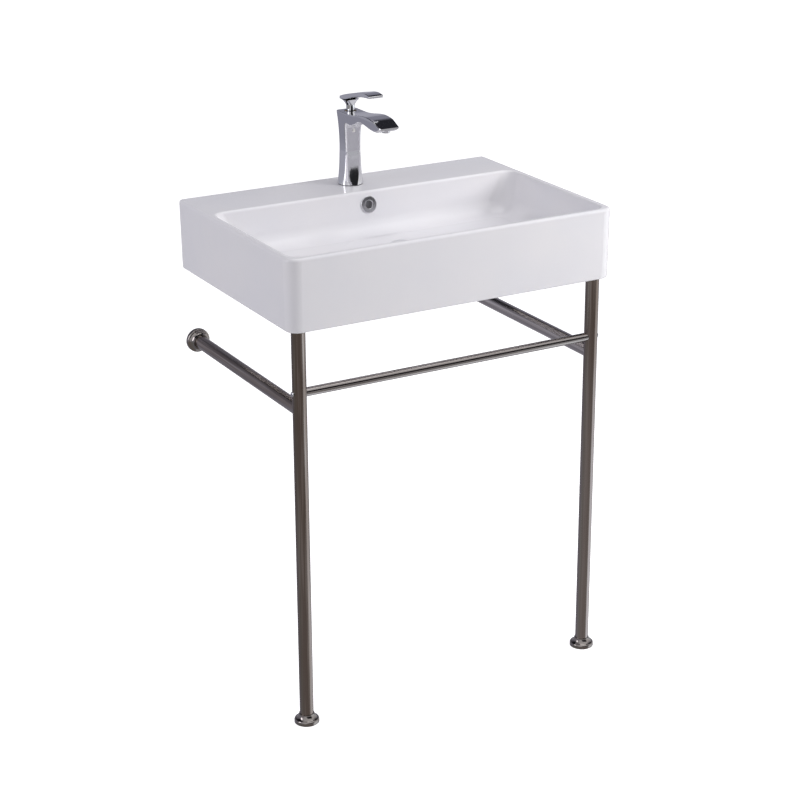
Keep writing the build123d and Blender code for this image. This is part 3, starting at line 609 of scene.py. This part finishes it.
# The room as shiny surfaces see it, in bands from low down to overhead. A band fades in over the one
# below it where a ray's rise, -1 straight down and 1 straight up, is between the fadesIn values.
# Stops go round the room: 0 front, 0.25 left, 0.5 wall side, 0.75 right. The camera stands at 0.08.
room = [
    {
        "stops": [
            (0.0, (0.275, 0.25, 0.235)),
            (0.16, (0.29, 0.27, 0.26)),
            (0.30, (0.28, 0.285, 0.275)),
            (0.42, (0.28, 0.28, 0.335)),
            (0.60, (0.40, 0.39, 0.44)),
            (0.68, (0.34, 0.33, 0.34)),
            (0.73, (0.88, 0.92, 0.97)),
            (0.80, (1.18, 1.25, 1.32)),
            (0.88, (1.10, 1.17, 1.22)),
            (0.905, (0.28, 0.26, 0.245)),
        ],
    },
    {
        "fadesIn": (-0.27, -0.20),
        "stops": [
            (0.0, (0.52, 0.52, 0.55)),
            (0.12, (0.62, 0.62, 0.65)),
            (0.20, (0.42, 0.42, 0.47)),
            (0.42, (0.40, 0.40, 0.46)),
            (0.62, (0.36, 0.36, 0.42)),
            (0.70, dimPanel),
            (0.86, white),
            (0.90, (0.52, 0.52, 0.55)),
        ],
    },
    {
        "fadesIn": (-0.10, -0.07),
        "stops": [
            (0.0, blackScreen),
            (0.075, blackScreen),
            (0.09, nearPanel),
            (0.14, nearPanel),
            (0.20, (0.45, 0.45, 0.49)),
            (0.42, (0.40, 0.40, 0.46)),
            (0.62, (0.36, 0.36, 0.42)),
            (0.70, dimPanel),
            (0.88, white),
            (0.90, blackScreen),
        ],
    },
    {
        "fadesIn": (0.17, 0.23),
        "stops": [
            (0.0, blackScreen),
            (0.04, blackScreen),
            (0.07, dimPanel),
            (0.20, (0.75, 0.75, 0.79)),
            (0.30, (0.50, 0.50, 0.55)),
            (0.42, (0.26, 0.26, 0.31)),
            (0.62, (0.23, 0.23, 0.28)),
            (0.72, (0.50, 0.50, 0.54)),
            (0.82, softPanel),
            (0.865, softPanel),
            (0.885, blackScreen),
        ],
    },
    {
        "fadesIn": (0.46, 0.54),
        "stops": [
            (0.0, softPanel),
            (0.20, (0.80, 0.80, 0.83)),
            (0.28, (0.30, 0.30, 0.33)),
            (0.33, darkCeiling),
            (0.72, darkCeiling),
            (0.79, (0.50, 0.50, 0.53)),
            (0.85, softPanel),
        ],
    },
]
overhead = {"fadesIn": (0.90, 0.95), "colour": dimPanel}


def makeWorld():
    world = bpy.data.worlds.new("softStudio")
    scene.world = world
    f = Finish(world)
    side, deep, up = (f.axis(name, "Generated") for name in "XYZ")
    around = f.math("ARCTAN2", side, deep) * (0.5 / math.pi) + 0.5
    bands = [f.node("ShaderNodeValToRGB", {"stops": band["stops"]}, {"Fac": around}) for band in room]
    seenRoom = bands[0]
    for band, tones in zip(room[1:], bands[1:]):
        seenRoom = f.blend(f.remap(up, *band["fadesIn"]), seenRoom, tones)
    seenRoom = f.blend(f.remap(up, *overhead["fadesIn"]), seenRoom, overhead["colour"])
    ambient = f.background(studio["ambientColour"], studio["ambient"])
    mirrored = f.background(seenRoom)
    light = f.node("ShaderNodeMixShader", None, {0: f.ray("Glossy"), 1: ambient, 2: mirrored})
    seen = f.math("MAXIMUM", f.ray("Camera"), f.ray("Transmission"))
    final = f.node("ShaderNodeMixShader", None, {0: seen, 1: light, 2: f.background(white)})
    f.node("ShaderNodeOutputWorld", None, {"Surface": final})


makeWorld()

# A lamp that isn't mirrored lights the object without showing in its reflections
lampAim = (0, 0, 0.75)
lamps = {
    "keyRight": {
        "place": (1.6, -1.45, 1.7),
        "size": (0.9, 1.1),
        "watts": 32.0,
        "colour": (1.0, 0.995, 0.98),
        "mirrored": False,
    },
    "topSoft": {
        "place": (0.6, 0.0, 3.2),
        "size": (2.0, 2.0),
        "watts": 17.0,
        "colour": white,
        "mirrored": True,
    },
    "leftFill": {
        "place": (-2.6, 0.2, 1.5),
        "size": (0.8, 1.8),
        "watts": 16.5,
        "colour": (0.96, 0.95, 1.0),
        "mirrored": True,
    },
}


def makeLamps():
    for name, lamp in lamps.items():
        data = bpy.data.lights.new(name, "AREA")
        data.shape = "RECTANGLE"
        data.size, data.size_y = lamp["size"]
        data.energy = lamp["watts"]
        data.color = lamp["colour"]
        holder = bpy.data.objects.new(name, data)
        scene.collection.objects.link(holder)
        place = Vector(lamp["place"])
        turn = (Vector(lampAim) - place).to_track_quat("-Z", "Y")
        holder.matrix_world = Matrix.Translation(place) @ turn.to_matrix().to_4x4()
        holder.visible_glossy = lamp["mirrored"]


makeLamps()

# The angles are in degrees, and the lens and sensor in millimetres
view = {
    "place": (-1.7341, -3.0957, 1.8365),
    "yaw": 29.39,
    "pitch": 20.68,
    "roll": -0.25,
    "lens": 91.575,
    "sensor": 36.0,
    "farthest": 100.0,
}


def makeCamera():
    yaw, pitch, roll = (math.radians(view[key]) for key in ("yaw", "pitch", "roll"))
    right = Vector((math.cos(yaw), -math.sin(yaw), 0))
    ahead = Vector((math.sin(yaw) * math.cos(pitch), math.cos(yaw) * math.cos(pitch), -math.sin(pitch)))
    up = right.cross(ahead)
    rolledRight = right * math.cos(roll) + up * math.sin(roll)
    rolledUp = up * math.cos(roll) - right * math.sin(roll)
    data = bpy.data.cameras.new("photoView")
    data.sensor_width = view["sensor"]
    data.lens = view["lens"]
    data.clip_end = view["farthest"]
    holder = bpy.data.objects.new("photoView", data)
    scene.collection.objects.link(holder)
    turn = Matrix((rolledRight, rolledUp, -ahead)).transposed().to_4x4()
    holder.matrix_world = Matrix.Translation(Vector(view["place"])) @ turn
    scene.camera = holder


makeCamera()
scene.view_settings.view_transform = "Standard"
print("studio done")
